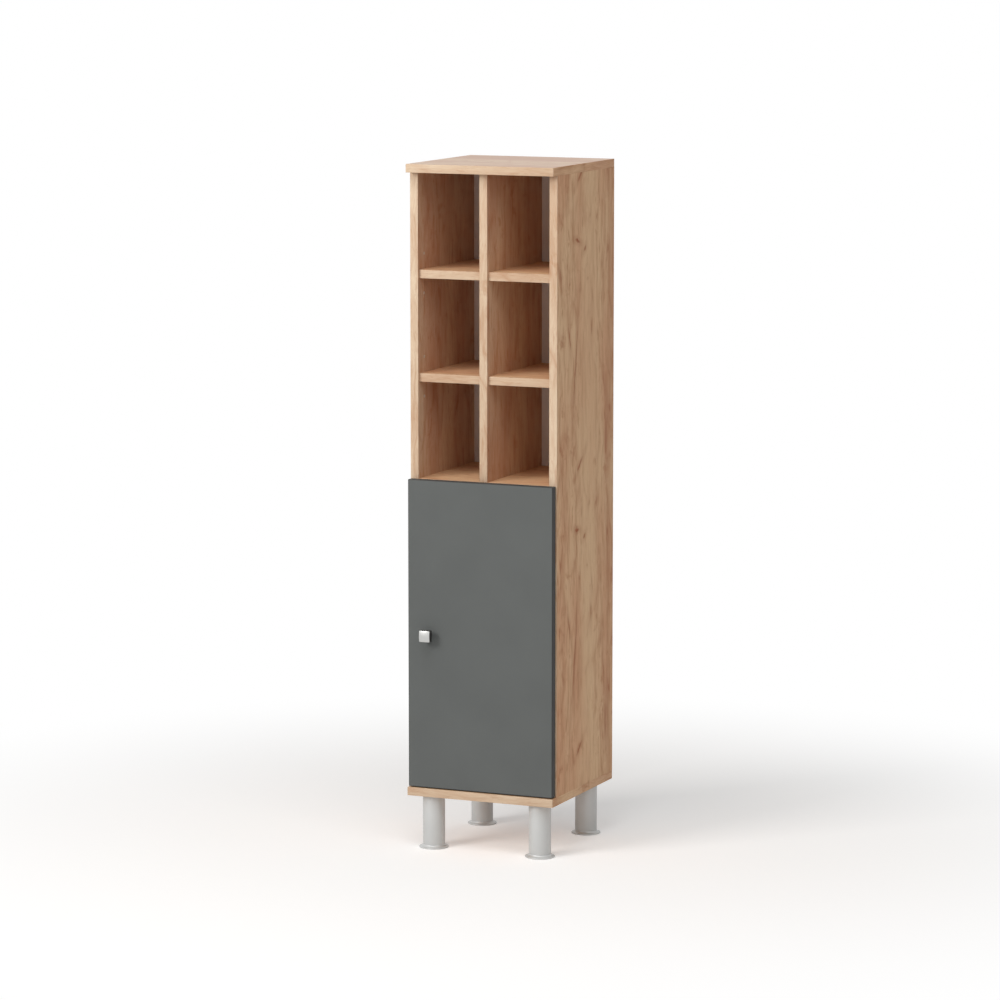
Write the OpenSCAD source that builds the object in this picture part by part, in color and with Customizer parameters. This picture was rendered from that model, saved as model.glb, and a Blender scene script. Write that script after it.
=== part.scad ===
// Mid-height bathroom cabinet on four round legs: six open niches above a door compartment.
// Millimetres. Z is up, the floor is Z = 0, the front faces -Y and the origin is under the middle.

/* [Case] */
// Width over the side panels
case_width = 300; // [280:5:450]
// Front to back size of the top and bottom panels
panel_depth = 302; // [270:1:400]
// Thickness of the boards of the case
board = 16; // [15:0.5:17]
// Thickness of the edging on the visible board edges
edging = 1; // [0.4:0.1:1.5]

/* [Niches] */
// Clear height of the top pair of niches
top_niche_height = 184; // [150:1:240]
// Clear height of the middle pair of niches
middle_niche_height = 180; // [150:1:240]
// Clear height of the bottom pair of niches
bottom_niche_height = 184; // [150:1:240]
// Distance of the niche shelves behind the front edges of the sides
niche_shelf_recess = 6.4; // [2:0.1:20]

/* [Back] */
// Thickness of the back sheet
back_sheet = 3; // [2.5:0.1:4]
// Distance of the back sheet in front of the rear edges
back_recess = 15; // [10:0.5:25]
// Depth of the groove for the back sheet
groove_depth = 8; // [6:0.5:9]

/* [Inner shelf] */
// Clear height under the shelf behind the door
inner_shelf_clear = 280; // [180:1:340]
// Distance of that shelf behind the front edges of the sides
inner_shelf_recess = 12; // [5:1:40]
// Gap at each end of that shelf
inner_shelf_play = 0.5; // [0.2:0.1:1.5]

/* [Door] */
// Height of the door leaf
door_height = 591; // [500:1:750]
// Thickness of the door leaf
door_board = 16; // [15:0.5:19]
// Distance of each door end inside the case width
door_side_gap = 2; // [1.5:0.1:3]
// Gap under the door
door_bottom_gap = 2; // [1:0.1:5]
// Gap between the closed door and the sides
door_back_gap = 1.2; // [1:0.1:2]
// Distance of the door face behind the front edge of the top panel
door_recess = 2.4; // [1:0.1:10]

/* [Knob] */
// Side of the square knob face
knob_size = 22; // [18:0.5:35]
// Distance of the knob face in front of the door
knob_projection = 24; // [20:0.5:35]
// Thickness of the square head
knob_head_depth = 12; // [6:0.5:14]
// Distance of the knob axis from the door's free end
knob_from_end = 43; // [30:1:80]

/* [Hinges] */
// Distance of each hinge axis from the top and bottom of the door
hinge_from_end = 90; // [70:1:140]
// Diameter of the hinge cup
cup_diameter = 35; // [35:1:36]
// Depth of the hinge cup in the door
cup_depth = 11.5; // [11.5:0.1:12]
// Wood between the cup and the end of the door
cup_edge = 4.4; // [4:0.1:4.6]
// Radius of the hinge pins
hinge_pin = 0.9; // [0.8:0.05:0.95]
// Half width of the hinge links
link_half_width = 2.1; // [1.8:0.1:2.1]

/* [Legs] */
// Height of the case above the floor
leg_height = 104; // [80:1:160]
// Outer diameter of the leg tubes
leg_diameter = 42.5; // [38:0.5:50]
// Wall of the leg tubes
leg_wall = 1.5; // [1.2:0.1:2.5]
// Diameter of the flared foot
foot_diameter = 57; // [53:0.5:66]
// Distance of the leg axes from the outer faces of the sides
leg_from_side = 40; // [36:0.5:60]
// Distance of the front leg axes behind the front edge
leg_from_front = 35; // [32:0.5:60]
// Distance of the rear leg axes in front of the rear edge
leg_from_back = 36; // [32:0.5:60]

/* [Joints of the case] */
// Diameter of the wood dowels
dowel_diameter = 8; // [6:1:8]
// Length of the wood dowels
dowel_length = 30; // [25:1:35]
// Diameter of the shelf pins and their holes
pin_diameter = 5; // [4:0.5:5]
// Distance of the front shelf pins behind the front edges of the sides
pin_setback = 28; // [24:1:37]
// Height of the spare pin holes above and below each niche shelf
spare_step = 37.5; // [32:0.5:40]
// Distance of the system hole rows from the sides' front edges in the door compartment
system_setback = 37; // [37:1:40]

/* [Hidden] */
$fn = 64;
fit = 0.1;
running = 0.05;

// Case planes
half_w = case_width / 2;
inner_x = half_w - board;
knob_reach = knob_projection - door_recess;
front_y = (knob_reach - panel_depth) / 2;
back_y = front_y + panel_depth;
door_front = front_y + door_recess;
door_back = door_front + door_board;
side_front = door_back + door_back_gap;
sheet_y = back_y - back_recess - back_sheet;
floor_top = leg_height + board;
door_low = floor_top + door_bottom_gap;
deck_top = door_low + door_height;
deck_low = deck_top - board;
lower_shelf_low = deck_top + bottom_niche_height;
upper_shelf_low = lower_shelf_low + board + middle_niche_height;
top_low = upper_shelf_low + board + top_niche_height;
top_z = top_low + board;
inner_shelf_low = floor_top + inner_shelf_clear;

// Boards: low corner, high corner, and which of -X, +X, -Y, +Y, -Z, +Z carry edging
top_board = [[-half_w, front_y, top_low], [half_w, back_y, top_z], [1, 1, 1, 0, 0, 0]];
bottom_board = [[-half_w, front_y, leg_height], [half_w, back_y, floor_top], [1, 1, 1, 0, 0, 0]];
side_board = [[inner_x, side_front, floor_top], [half_w, back_y, top_low], [0, 0, 1, 0, 0, 0]];
deck_board = [[-inner_x, side_front, deck_low], [inner_x, sheet_y, deck_top], [0, 0, 1, 0, 0, 0]];
divider_board = [[-board / 2, side_front, deck_top], [board / 2, sheet_y, top_low], [0, 0, 1, 0, 0, 0]];
inner_board = [[-inner_x + inner_shelf_play, side_front + inner_shelf_recess, inner_shelf_low],
    [inner_x - inner_shelf_play, sheet_y - inner_shelf_play, inner_shelf_low + board], [0, 0, 1, 0, 0, 0]];
door_leaf = [[-half_w + door_side_gap, door_front, door_low], [half_w - door_side_gap, door_back, deck_top],
    [1, 1, 0, 0, 1, 1]];
function niche_board(low) =
    [[board / 2, side_front + niche_shelf_recess, low], [inner_x, sheet_y, low + board], [0, 0, 1, 0, 0, 0]];
niche_shelf_lows = [lower_shelf_low, upper_shelf_low];

// Dowels and case screws: the short end of a dowel sits in a board face, the long end in a board end
dowel_in_face = 11;
dowel_in_end = dowel_length - dowel_in_face;
dowel_setback = 50;
dowel_rows = [side_front + dowel_setback, sheet_y - dowel_setback];
hole_end_play = 1;
case_screw_setbacks = [26, 22];
case_screw_rows = [side_front + case_screw_setbacks[0], sheet_y - case_screw_setbacks[1]];
case_screw_length = 50;
case_screw_radius = 3.5;
case_screw_head_radius = 5;
case_screw_head_height = 3;
case_screw_socket = 2.3;
sheet_play = 1;

// Shelf pins, shelf supports and the plugs of the spare holes
system_pitch = 32;
pin_in_panel = 6;
pin_in_shelf = 8;
pin_end_play = 0.4;
pin_rows = [side_front + pin_setback, sheet_y - pin_setback];
support_rows = [side_front + system_setback, sheet_y - system_setback];
support_z = inner_shelf_low - pin_diameter / 2;
support_stem = 8;
support_reach = 9;
support_width = 8;
support_plate = 2;
support_rib = 1.6;
plug_stem = 6;
plug_head_radius = 3;
plug_head_height = 0.6;

// Knob and bumpers
knob_x = -half_w + door_side_gap + knob_from_end;
knob_z = (door_low + deck_top) / 2;
knob_face = door_front - knob_projection;
knob_corner = 2;
knob_crown = 45;
crown_steps = 8;
knob_neck = 5;
knob_base_lip = 0.8;
knob_base_height = 2;
knob_screw_radius = 2;
knob_screw_head = 2;
knob_screw_bite = 12;
bumper_radius = 4;
bumper_inset = 14;

// Hinge axes seen from above: the pole lies in the door near its end
pole_inset = 2.5;
pole_depth = 8.4;
arm_out = [-16.3, 11];
arm_spacing = 6.4;
cup_out = [-20.75, 1.32];
inner_ratio = 0.683;
pole = [half_w - door_side_gap - pole_inset, door_back - pole_depth];
arm_front = pole + arm_out;
arm_rear = arm_front + arm_spacing * arm_out / norm(arm_out);
cup_far = pole + cup_out;
cup_near = pole + inner_ratio * cup_out;
front_far = arm_front + cup_out;
front_near = arm_front + inner_ratio * cup_out;
rear_far = arm_rear + cup_out;
rear_near = arm_rear + inner_ratio * cup_out;
hinge_levels = [door_low + hinge_from_end, deck_top - hinge_from_end];
cup_x = half_w - door_side_gap - cup_edge - cup_diameter / 2;

// Link layers as distances above and below the hinge's middle
link_waist_cut = 0.3;
link_waist = link_half_width - link_waist_cut;
short_layer = 1.6;
long_layer = [1.9, 3.4];
rear_layer = [3.7, 5.2];
front_layer = [5.5, 7];
arm_layer = [7.3, 8.8];
pocket_half = 9.2;
arm_pivot_half_width = 2.4;
arm_wall = 1.5;
arm_web_x = arm_rear[0] - arm_pivot_half_width;
arm_side_gap = 3.5;
arm_wall_side = inner_x - arm_side_gap;
arm_length = 60;
arm_end = side_front + arm_length;
arm_web_gap = 1.5;
arm_web_front = rear_far[1] + link_half_width + arm_web_gap;
cup_wall = 0.8;
cup_rim = 1;
cup_rim_height = 0.8;
cup_screw_drop = 24;
cup_screw_in = 6;
cup_screw_bite = 11;
cup_screw_radius = 1.75;
cup_screw_head = 1.2;
cup_ear = 5.5;
cup_pin_half = 10.5;
plate_y = side_front + system_setback;
plate_thickness = 2.5;
plate_half_length = 22;
plate_half_height = 9;
plate_wing = 6.5;
plate_screw_drop = system_pitch / 2;
plate_screw_bite = 11;
plate_screw_radius = 2;
plate_screw_head = 1.8;
ridge_half_length = 17;
ridge_half_height = 6.9;
arm_screw_radius = 2.5;
arm_screw_head = 2;
arm_screw_bite = 7;
arm_screw_offsets = [-9, 9];
wall_screw_head_ratio = 1.9;
recess_length_ratio = 1.2;
recess_width_ratio = 0.3;

// Legs
foot_height = 7;
foot_rim = 2.5;
foot_stem = 5;
foot_stem_length = 40;
bush_height = 14;
stud_radius = 4;
sleeve_radius = 6;
sleeve_height = 12;
leg_x = half_w - leg_from_side;
leg_front_y = front_y + leg_from_front;
leg_back_y = back_y - leg_from_back;
leg_places = [[-leg_x, leg_front_y], [leg_x, leg_front_y], [-leg_x, leg_back_y], [leg_x, leg_back_y]];
leg_radius = leg_diameter / 2;
bush_radius = leg_radius - leg_wall - running;
foot_bush_height = 12;
foot_edge = 0.8;
flare_steps = 8;

module slab(low, high) {
    translate(low) cube(high - low);
}

// Round bars from a point: back counts towards the low side of the axis, ahead towards the high side
module rod_x(at, back, ahead, r) {
    translate([at[0] - back, at[1], at[2]]) rotate([0, 90, 0]) cylinder(h = back + ahead, r = r);
}

module rod_y(at, back, ahead, r) {
    translate([at[0], at[1] + ahead, at[2]]) rotate([90, 0, 0]) cylinder(h = back + ahead, r = r);
}

module rod_z(at, back, ahead, r) {
    translate([at[0], at[1], at[2] - back]) cylinder(h = back + ahead, r = r);
}

// Side features are drawn for the right side, and mirrored for the left
module on_side(side) {
    mirror([side < 0 ? 1 : 0, 0, 0]) children();
}

function end_play(play) = play > 0 ? hole_end_play : 0;
function core_low(b) = [for (i = [0:2]) b[0][i] + edging * b[2][2 * i]];
function core_high(b) = [for (i = [0:2]) b[1][i] - edging * b[2][2 * i + 1]];

// A board without its edging
module core(b) {
    slab(core_low(b), core_high(b));
}

// The edging of a board: the front strip runs full length, the end strips sit behind it
module bands(b) {
    low = b[0];
    high = b[1];
    edged = b[2];
    a = core_low(b);
    c = core_high(b);
    if (edged[2]) slab(low, [high[0], a[1], high[2]]);
    if (edged[4]) slab([low[0], a[1], low[2]], [high[0], c[1], a[2]]);
    if (edged[5]) slab([low[0], a[1], c[2]], [high[0], c[1], high[2]]);
    if (edged[0]) slab([low[0], a[1], a[2]], [a[0], c[1], c[2]]);
    if (edged[1]) slab([c[0], a[1], a[2]], [high[0], c[1], c[2]]);
}

// Upright dowels across the plane at z, or their holes with play
module upright_dowels(x, z, above, below, play = 0) {
    for (y = dowel_rows)
        rod_z([x, y, z], below + end_play(play), above + end_play(play), dowel_diameter / 2 + play);
}

module top_joint(play = 0) {
    upright_dowels(half_w - board / 2, top_low, dowel_in_face, dowel_in_end, play);
}

module bottom_joint(play = 0) {
    upright_dowels(half_w - board / 2, floor_top, dowel_in_end, dowel_in_face, play);
}

module divider_top_joint(play = 0) {
    upright_dowels(0, top_low, dowel_in_face, dowel_in_end, play);
}

module divider_deck_joint(play = 0) {
    upright_dowels(0, deck_top, dowel_in_end, dowel_in_face, play);
}

// Level dowels between the deck and the side, or their holes with play
module deck_joint(play = 0) {
    for (y = dowel_rows)
        rod_x([inner_x, y, deck_low + board / 2], dowel_in_end + end_play(play),
            dowel_in_face + end_play(play), dowel_diameter / 2 + play);
}

// Case screws from below into the side, or their holes with play
module case_screw_pair(play = 0) {
    for (y = case_screw_rows) {
        rod_z([half_w - board / 2, y, leg_height], 0, case_screw_length + end_play(play),
            case_screw_radius + play);
        rod_z([half_w - board / 2, y, leg_height], 0, case_screw_head_height + play,
            case_screw_head_radius + play);
    }
}

// Pins at both ends of a right niche shelf, or their holes with play
module niche_pins(low, play = 0) {
    in_shelf = pin_in_shelf + (play > 0 ? pin_end_play : 0);
    in_panel = pin_in_panel + (play > 0 ? pin_end_play : 0);
    for (y = pin_rows) {
        rod_x([inner_x, y, low + board / 2], in_shelf, in_panel, pin_diameter / 2 - fit + play);
        rod_x([board / 2, y, low + board / 2], in_panel, in_shelf, pin_diameter / 2 - fit + play);
    }
}

module side_holes() {
    top_joint(fit);
    bottom_joint(fit);
    deck_joint(fit);
    case_screw_pair(fit);
    for (low = niche_shelf_lows) {
        niche_pins(low, fit);
        for (step = [-spare_step, spare_step])
            rod_x([inner_x, pin_rows[0], low + board / 2 + step], 0, plug_stem + pin_end_play,
                pin_diameter / 2);
    }
    for (y = support_rows, step = [-system_pitch, 0, system_pitch])
        rod_x([inner_x, y, support_z + step], 0, support_stem + pin_end_play, pin_diameter / 2);
    slab([inner_x, sheet_y, floor_top],
        [inner_x + groove_depth, sheet_y + back_sheet + 2 * fit, top_low]);
}

// Groove for the back sheet in the top or bottom panel
module panel_groove(low, high) {
    slab([-inner_x - groove_depth, sheet_y, low],
        [inner_x + groove_depth, sheet_y + back_sheet + 2 * fit, high]);
}

module top_panel() color("peru") difference() {
    core(top_board);
    for (side = [-1, 1])
        on_side(side) top_joint(fit);
    divider_top_joint(fit);
    panel_groove(top_low, top_low + groove_depth);
}

module bottom_panel() color("peru") difference() {
    core(bottom_board);
    for (side = [-1, 1])
        on_side(side) {
            bottom_joint(fit);
            case_screw_pair(fit);
        }
    panel_groove(floor_top - groove_depth, floor_top);
    for (place = leg_places)
        rod_z([place[0], place[1], leg_height], 0, sleeve_height + pin_end_play, sleeve_radius + fit);
}

module left_side_panel() color("peru") on_side(-1) difference() {
    core(side_board);
    side_holes();
}

module right_side_panel() color("peru") difference() {
    core(side_board);
    side_holes();
    at_hinges() for (step = [-plate_screw_drop, plate_screw_drop])
        rod_x([inner_x, plate_y, step], 0, plate_screw_bite + pin_end_play, plate_screw_radius + fit);
}

module deck_panel() color("peru") difference() {
    core(deck_board);
    for (side = [-1, 1])
        on_side(side) deck_joint(fit);
    divider_deck_joint(fit);
}

module niche_divider() color("peru") difference() {
    core(divider_board);
    divider_deck_joint(fit);
    divider_top_joint(fit);
    for (side = [-1, 1], low = niche_shelf_lows)
        on_side(side) niche_pins(low, fit);
}

module niche_shelf(side, low) {
    color("peru") on_side(side) difference() {
        core(niche_board(low));
        niche_pins(low, fit);
    }
}

module upper_left_shelf() niche_shelf(-1, upper_shelf_low);

module upper_right_shelf() niche_shelf(1, upper_shelf_low);

module lower_left_shelf() niche_shelf(-1, lower_shelf_low);

module lower_right_shelf() niche_shelf(1, lower_shelf_low);

module inner_shelf() color("peru") core(inner_board);

module back_sheet_panel() color("tan") {
    engaged = groove_depth - sheet_play;
    slab([-inner_x - engaged, sheet_y, floor_top - engaged],
        [inner_x + engaged, sheet_y + back_sheet, top_low + engaged]);
}

module door_panel() color("dimgray") difference() {
    core(door_leaf);
    rod_y([knob_x, door_back, knob_z], door_board, 0, knob_screw_radius + fit);
    at_hinges() {
        rod_y([cup_x, door_back, 0], cup_depth, 0, cup_diameter / 2 + fit);
        for (step = [-cup_screw_drop, cup_screw_drop])
            rod_y([cup_x - cup_screw_in, door_back, step], cup_screw_bite + pin_end_play, 0,
                cup_screw_radius + fit);
    }
}

module top_panel_edging() color("burlywood") bands(top_board);

module bottom_panel_edging() color("burlywood") bands(bottom_board);

module side_panel_edging() color("burlywood") for (side = [-1, 1])
    on_side(side) bands(side_board);

module divider_edging() color("burlywood") bands(divider_board);

module deck_edging() color("burlywood") bands(deck_board);

module shelf_edging() color("burlywood") {
    for (side = [-1, 1], low = niche_shelf_lows)
        on_side(side) bands(niche_board(low));
    bands(inner_board);
}

module door_edging() color("dimgray") bands(door_leaf);

module rounded_square(size, r) {
    square([size, size - 2 * r], center = true);
    square([size - 2 * r, size], center = true);
    for (x = [-1, 1], y = [-1, 1])
        translate([x * (size / 2 - r), y * (size / 2 - r)]) circle(r = r);
}

module knob() color("silver") difference() {
    half_arc = asin(knob_size / sqrt(2) / knob_crown);
    crown = concat([[0, knob_head_depth]],
        [for (i = [0:crown_steps]) let (turn = half_arc * i / crown_steps)
            [knob_crown * sin(turn), knob_crown * (1 - cos(turn))]],
        [[knob_size / sqrt(2), knob_head_depth]]);
    union() {
        intersection() {
            translate([knob_x, knob_face + knob_head_depth, knob_z]) rotate([90, 0, 0])
                linear_extrude(height = knob_head_depth) rounded_square(knob_size, knob_corner);
            translate([knob_x, knob_face, knob_z]) rotate([-90, 0, 0]) rotate_extrude() polygon(crown);
        }
        rod_y([knob_x, door_front, knob_z], knob_projection - knob_head_depth, 0, knob_neck);
        rod_y([knob_x, door_front, knob_z], knob_base_height, 0, knob_neck + knob_base_lip);
    }
    rod_y([knob_x, door_front, knob_z], knob_screw_bite + pin_end_play, 0, knob_screw_radius + fit);
}

// Cross recess sunk into a screw head at the origin that faces +Z
module cross_recess(r, depth) {
    length = recess_length_ratio * r;
    width = recess_width_ratio * r;
    for (turn = [0, 90])
        rotate([0, 0, turn]) translate([-length / 2, -width / 2, -depth]) cube([length, width, depth]);
}

module knob_screw() color("silver") difference() {
    union() {
        rod_y([knob_x, door_back, knob_z], door_board + knob_screw_bite, 0, knob_screw_radius);
        rod_y([knob_x, door_back, knob_z], 0, knob_screw_head, 2 * knob_screw_radius);
    }
    translate([knob_x, door_back + knob_screw_head, knob_z]) rotate([-90, 0, 0])
        cross_recess(2 * knob_screw_radius, knob_screw_head / 2);
}

module door_bumpers() color("whitesmoke") for (z = [door_low + bumper_inset, deck_top - bumper_inset])
    rod_y([-half_w + board / 2, door_back, z], 0, door_back_gap - fit, bumper_radius);

// The same parts at both hinges
module at_hinges() {
    for (z = hinge_levels)
        translate([0, 0, z]) children();
}

// One hinge cup with its two screw ears; the pocket is as high as the arm and links need
module hinge_cup(z) {
    rim_radius = cup_diameter / 2 + cup_rim;
    color("gainsboro") translate([0, door_back, z]) difference() {
        union() {
            rod_y([cup_x, 0, 0], cup_depth, 0, cup_diameter / 2);
            rod_y([cup_x, 0, 0], 0, cup_rim_height, rim_radius);
            for (step = [-cup_screw_drop, cup_screw_drop])
                rod_y([cup_x - cup_screw_in, 0, step], 0, cup_rim_height, cup_ear);
            slab([cup_x - cup_screw_in - cup_ear, 0, -cup_screw_drop],
                [cup_x - cup_screw_in + cup_ear, cup_rim_height, cup_screw_drop]);
        }
        intersection() {
            rod_y([cup_x, 0, 0], cup_depth - cup_wall, cup_rim_height, cup_diameter / 2 - cup_wall);
            slab([cup_x - rim_radius, -cup_depth, -pocket_half],
                [cup_x + rim_radius, cup_rim_height, pocket_half]);
        }
        slab([cup_x - rim_radius, 0, -pocket_half], [cup_x + rim_radius, cup_rim_height, pocket_half]);
        for (place = [cup_far, cup_near])
            translate([0, -door_back, 0]) pin(place, cup_pin_half + fit, hinge_pin + running);
        for (step = [-cup_screw_drop, cup_screw_drop])
            rod_y([cup_x - cup_screw_in, 0, step], cup_depth, cup_rim_height, cup_screw_radius + fit);
    }
}

module upper_hinge_cup() hinge_cup(hinge_levels[1]);

module lower_hinge_cup() hinge_cup(hinge_levels[0]);

// One arm: two cheeks that carry the pins and a web over the mounting plate
module hinge_arm(z) {
    cheek = arm_layer[1] - arm_layer[0];
    color("gainsboro") translate([0, 0, z]) difference() {
        union() {
            above_and_below(arm_layer) {
                for (place = [arm_front, arm_rear])
                    translate(place) cylinder(h = cheek, r = arm_pivot_half_width);
                slab([arm_web_x, arm_rear[1], 0], [arm_wall_side, arm_end, cheek]);
                slab([arm_front[0], arm_front[1], 0], [arm_wall_side, arm_rear[1], cheek]);
                slab([arm_rear[0], arm_front[1] + arm_pivot_half_width, 0],
                    [arm_front[0], arm_rear[1], cheek]);
            }
            slab([arm_web_x, arm_web_front, -arm_layer[1]], [arm_web_x + arm_wall, arm_end, arm_layer[1]]);
        }
        for (place = [arm_front, arm_rear])
            pin(place, arm_layer[1] + fit, hinge_pin + running);
        for (step = arm_screw_offsets)
            rod_x([arm_web_x, plate_y + step, 0], 0, arm_wall, arm_screw_radius + fit);
    }
}

module upper_hinge_arm() hinge_arm(hinge_levels[1]);

module lower_hinge_arm() hinge_arm(hinge_levels[0]);

// One mounting plate: a cross-shaped base with the ridge that the arm sits on
module mounting_plate(z) {
    face_x = inner_x - plate_thickness;
    color("gainsboro") translate([0, plate_y, z]) difference() {
        union() {
            slab([face_x, -plate_half_length, -plate_half_height],
                [inner_x, plate_half_length, plate_half_height]);
            slab([face_x, -plate_wing, -plate_screw_drop], [inner_x, plate_wing, plate_screw_drop]);
            for (step = [-plate_screw_drop, plate_screw_drop])
                rod_x([inner_x, 0, step], plate_thickness, 0, plate_wing);
            slab([arm_web_x + arm_wall, -ridge_half_length, -ridge_half_height],
                [inner_x, ridge_half_length, ridge_half_height]);
        }
        for (step = [-plate_screw_drop, plate_screw_drop])
            rod_x([inner_x, 0, step], plate_thickness, 0, plate_screw_radius + fit);
        for (step = arm_screw_offsets)
            rod_x([arm_web_x + arm_wall, step, 0], 0, arm_screw_bite + pin_end_play, arm_screw_radius + fit);
    }
}

module upper_mounting_plate() mounting_plate(hinge_levels[1]);

module lower_mounting_plate() mounting_plate(hinge_levels[0]);

// The same plate above and below the hinge's middle
module above_and_below(layer) {
    for (flip = [0, 1])
        mirror([0, 0, flip]) translate([0, 0, layer[0]]) children();
}

// A flat strip between two points, with round ends, a narrower middle and a hole at each of the places
module strip(a, b, thickness, places) {
    run = b - a;
    difference() {
        union() {
            for (end = [a, b])
                translate(end) cylinder(h = thickness, r = link_half_width);
            translate(a) rotate([0, 0, atan2(run[1], run[0])])
                translate([0, -link_waist, 0]) cube([norm(run), 2 * link_waist, thickness]);
        }
        for (place = places)
            translate(place) cylinder(h = thickness, r = hinge_pin + running);
    }
}

module hinge_front_links() color("gainsboro") at_hinges() above_and_below(front_layer)
    strip(arm_front, front_far, front_layer[1] - front_layer[0], [arm_front, front_far, front_near]);

module hinge_rear_links() color("gainsboro") at_hinges() above_and_below(rear_layer)
    strip(arm_rear, rear_far, rear_layer[1] - rear_layer[0], [arm_rear, rear_far, rear_near]);

module hinge_long_bars() color("darkgray") at_hinges() above_and_below(long_layer)
    strip(rear_far, cup_far, long_layer[1] - long_layer[0], [rear_far, front_far, cup_far]);

module hinge_short_bars() color("darkgray") at_hinges() translate([0, 0, -short_layer])
    strip(rear_near, cup_near, 2 * short_layer, [rear_near, front_near, cup_near]);

// A hinge pin centred on the hinge's middle
module pin(place, half, r = hinge_pin) {
    translate([place[0], place[1], -half]) cylinder(h = 2 * half, r = r);
}

module hinge_arm_pins() color("silver") at_hinges() {
    pin(arm_front, arm_layer[1]);
    pin(arm_rear, arm_layer[1]);
}

module hinge_front_link_pins() color("silver") at_hinges() {
    pin(front_far, front_layer[1]);
    pin(front_near, front_layer[1]);
}

module hinge_rear_link_pins() color("silver") at_hinges() {
    pin(rear_far, rear_layer[1]);
    pin(rear_near, rear_layer[1]);
}

module hinge_cup_pins() color("silver") at_hinges() {
    pin(cup_far, cup_pin_half);
    pin(cup_near, cup_pin_half);
}

module hinge_cup_screws() color("silver") at_hinges() for (step = [-cup_screw_drop, cup_screw_drop]) {
    head_y = door_back + cup_rim_height;
    difference() {
        union() {
            rod_y([cup_x - cup_screw_in, head_y, step], cup_rim_height + cup_screw_bite, 0, cup_screw_radius);
            rod_y([cup_x - cup_screw_in, head_y, step], 0, cup_screw_head, 2 * cup_screw_radius);
        }
        translate([cup_x - cup_screw_in, head_y + cup_screw_head, step]) rotate([-90, 0, 0])
            cross_recess(2 * cup_screw_radius, cup_screw_head / 2);
    }
}

// A screw along +X whose head sits against the plane at x
module wall_screw(x, y, z, length, r, head) {
    head_radius = wall_screw_head_ratio * r;
    difference() {
        union() {
            rod_x([x, y, z], 0, length, r);
            rod_x([x, y, z], head, 0, head_radius);
        }
        translate([x - head, y, z]) rotate([0, -90, 0]) cross_recess(head_radius, head / 2);
    }
}

module mounting_plate_screws() color("silver") at_hinges()
    for (step = [-plate_screw_drop, plate_screw_drop])
        wall_screw(inner_x - plate_thickness, plate_y, step, plate_thickness + plate_screw_bite,
            plate_screw_radius, plate_screw_head);

module hinge_arm_screws() color("silver") at_hinges() for (step = arm_screw_offsets)
    wall_screw(arm_web_x, plate_y + step, 0, arm_wall + arm_screw_bite, arm_screw_radius, arm_screw_head);

module top_dowels() color("wheat") for (side = [-1, 1])
    on_side(side) top_joint();

module bottom_dowels() color("wheat") for (side = [-1, 1])
    on_side(side) bottom_joint();

module deck_dowels() color("wheat") for (side = [-1, 1])
    on_side(side) deck_joint();

module divider_dowels() color("wheat") {
    divider_top_joint();
    divider_deck_joint();
}

module case_screws() color("silver") for (side = [-1, 1])
    on_side(side) difference() {
        case_screw_pair();
        for (y = case_screw_rows)
            translate([half_w - board / 2, y, leg_height])
                cylinder(h = case_screw_head_height, r = case_screw_socket, $fn = 6);
    }

module niche_shelf_pins() color("silver") for (side = [-1, 1], low = niche_shelf_lows)
    on_side(side) niche_pins(low);

module inner_shelf_supports() color("silver") for (side = [-1, 1], y = support_rows)
    on_side(side) {
        rod_x([inner_x, y, support_z], support_rib, support_stem, pin_diameter / 2 - fit);
        slab([inner_x - support_reach, y - support_width / 2, inner_shelf_low - support_plate],
            [inner_x, y + support_width / 2, inner_shelf_low]);
        slab([inner_x - support_reach + support_plate, y - support_rib / 2, support_z - pin_diameter / 2],
            [inner_x, y + support_rib / 2, inner_shelf_low - support_plate]);
    }

module hole_plugs() color("lightgray")
    for (side = [-1, 1], low = niche_shelf_lows, step = [-spare_step, spare_step])
        on_side(side) {
            rod_x([inner_x, pin_rows[0], low + board / 2 + step], 0, plug_stem, pin_diameter / 2 - fit);
            rod_x([inner_x, pin_rows[0], low + board / 2 + step], plug_head_height, 0, plug_head_radius);
        }

module leg_tube(place) {
    color("lightgray") translate([place[0], place[1], foot_height]) difference() {
        cylinder(h = leg_height - foot_height, r = leg_radius);
        cylinder(h = leg_height - foot_height, r = leg_radius - leg_wall);
    }
}

module front_left_leg_tube() leg_tube(leg_places[0]);

module front_right_leg_tube() leg_tube(leg_places[1]);

module rear_left_leg_tube() leg_tube(leg_places[2]);

module rear_right_leg_tube() leg_tube(leg_places[3]);

// Levelling foot: a flared disc that meets the tube, with a threaded stem drawn plain
module foot(place) {
    rim = foot_diameter / 2;
    stem_end = foot_height + foot_stem_length;
    flare = [for (i = [0:flare_steps]) let (turn = 90 * i / flare_steps)
        [rim - (rim - leg_radius) * sin(turn), foot_rim + (foot_height - foot_rim) * (1 - cos(turn))]];
    color("lightgray") translate(place) rotate_extrude()
        polygon(concat([[0, 0], [rim - foot_edge, 0], [rim, foot_edge]], flare,
            [[foot_stem, foot_height], [foot_stem, stem_end - foot_edge], [foot_stem - foot_edge, stem_end],
             [0, stem_end]]));
}

module front_left_foot() foot(leg_places[0]);

module front_right_foot() foot(leg_places[1]);

module rear_left_foot() foot(leg_places[2]);

module rear_right_foot() foot(leg_places[3]);

// A round bush with a bore, standing at height z in every leg
module leg_bushes(z, height, r, bore) {
    for (place = leg_places)
        translate([place[0], place[1], z]) difference() {
            cylinder(h = height, r = r);
            cylinder(h = height, r = bore);
        }
}

module leg_top_bushes() color("dimgray")
    leg_bushes(leg_height - bush_height, bush_height, bush_radius, stud_radius + fit);

module foot_bushes() color("dimgray")
    leg_bushes(foot_height, foot_bush_height, bush_radius, foot_stem + running);

module leg_sleeves() color("silver") leg_bushes(leg_height, sleeve_height, sleeve_radius, stud_radius + fit);

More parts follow.
